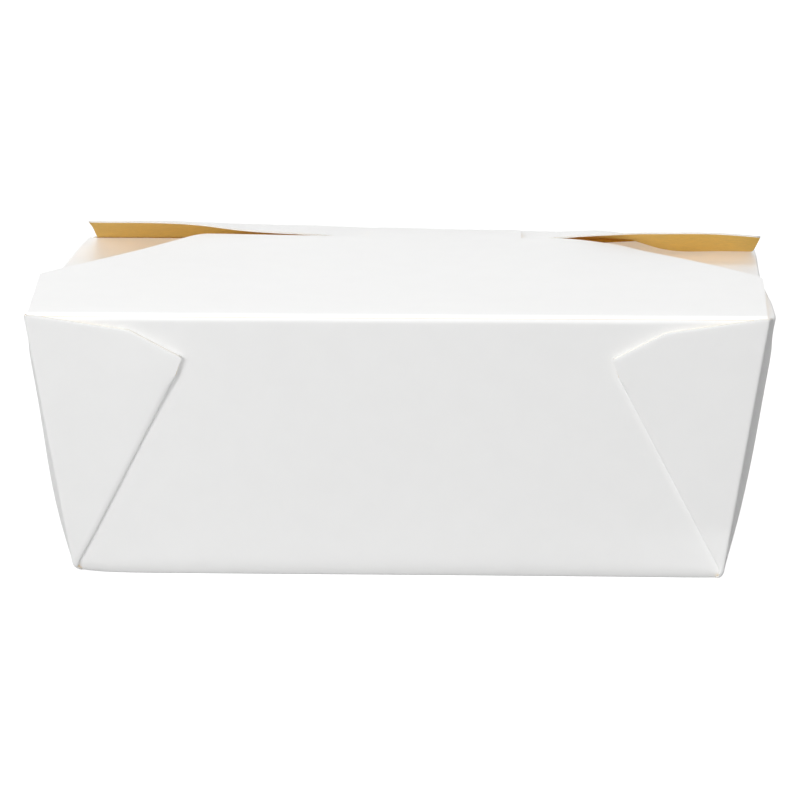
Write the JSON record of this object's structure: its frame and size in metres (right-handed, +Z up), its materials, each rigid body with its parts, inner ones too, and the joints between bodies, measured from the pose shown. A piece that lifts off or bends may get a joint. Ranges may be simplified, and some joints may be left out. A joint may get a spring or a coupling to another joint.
{
  "type": "paperboard takeaway food box",
  "caption": "Folded paperboard takeaway food box with tapered walls, glued corner gussets and a hinged flap top with a tongue.",
  "frame": {"origin": "middle of the underside of the base", "axes": "+X along the long side, to the right as seen from the front; -Y towards the front wall, where the last flap is hinged; +Z up"},
  "size_m": [0.1764, 0.1396, 0.0739],
  "materials": {
    "box_board": "white coated outside, kraft brown inside",
    "flap_board": "white coated outside, kraft brown inside"
  },
  "bodies": {
    "box": {"folded_box": "box_board"},
    "flap": {"front_flap": "flap_board"}
  },
  "joints": [
    {"name": "front_flap_hinge", "type": "hinge", "parent": "box", "child": "flap", "pos_m": [0, -0.0682, 0.0628], "axis": [1, 0, 0], "range_deg": [0, 120]}
  ]
}
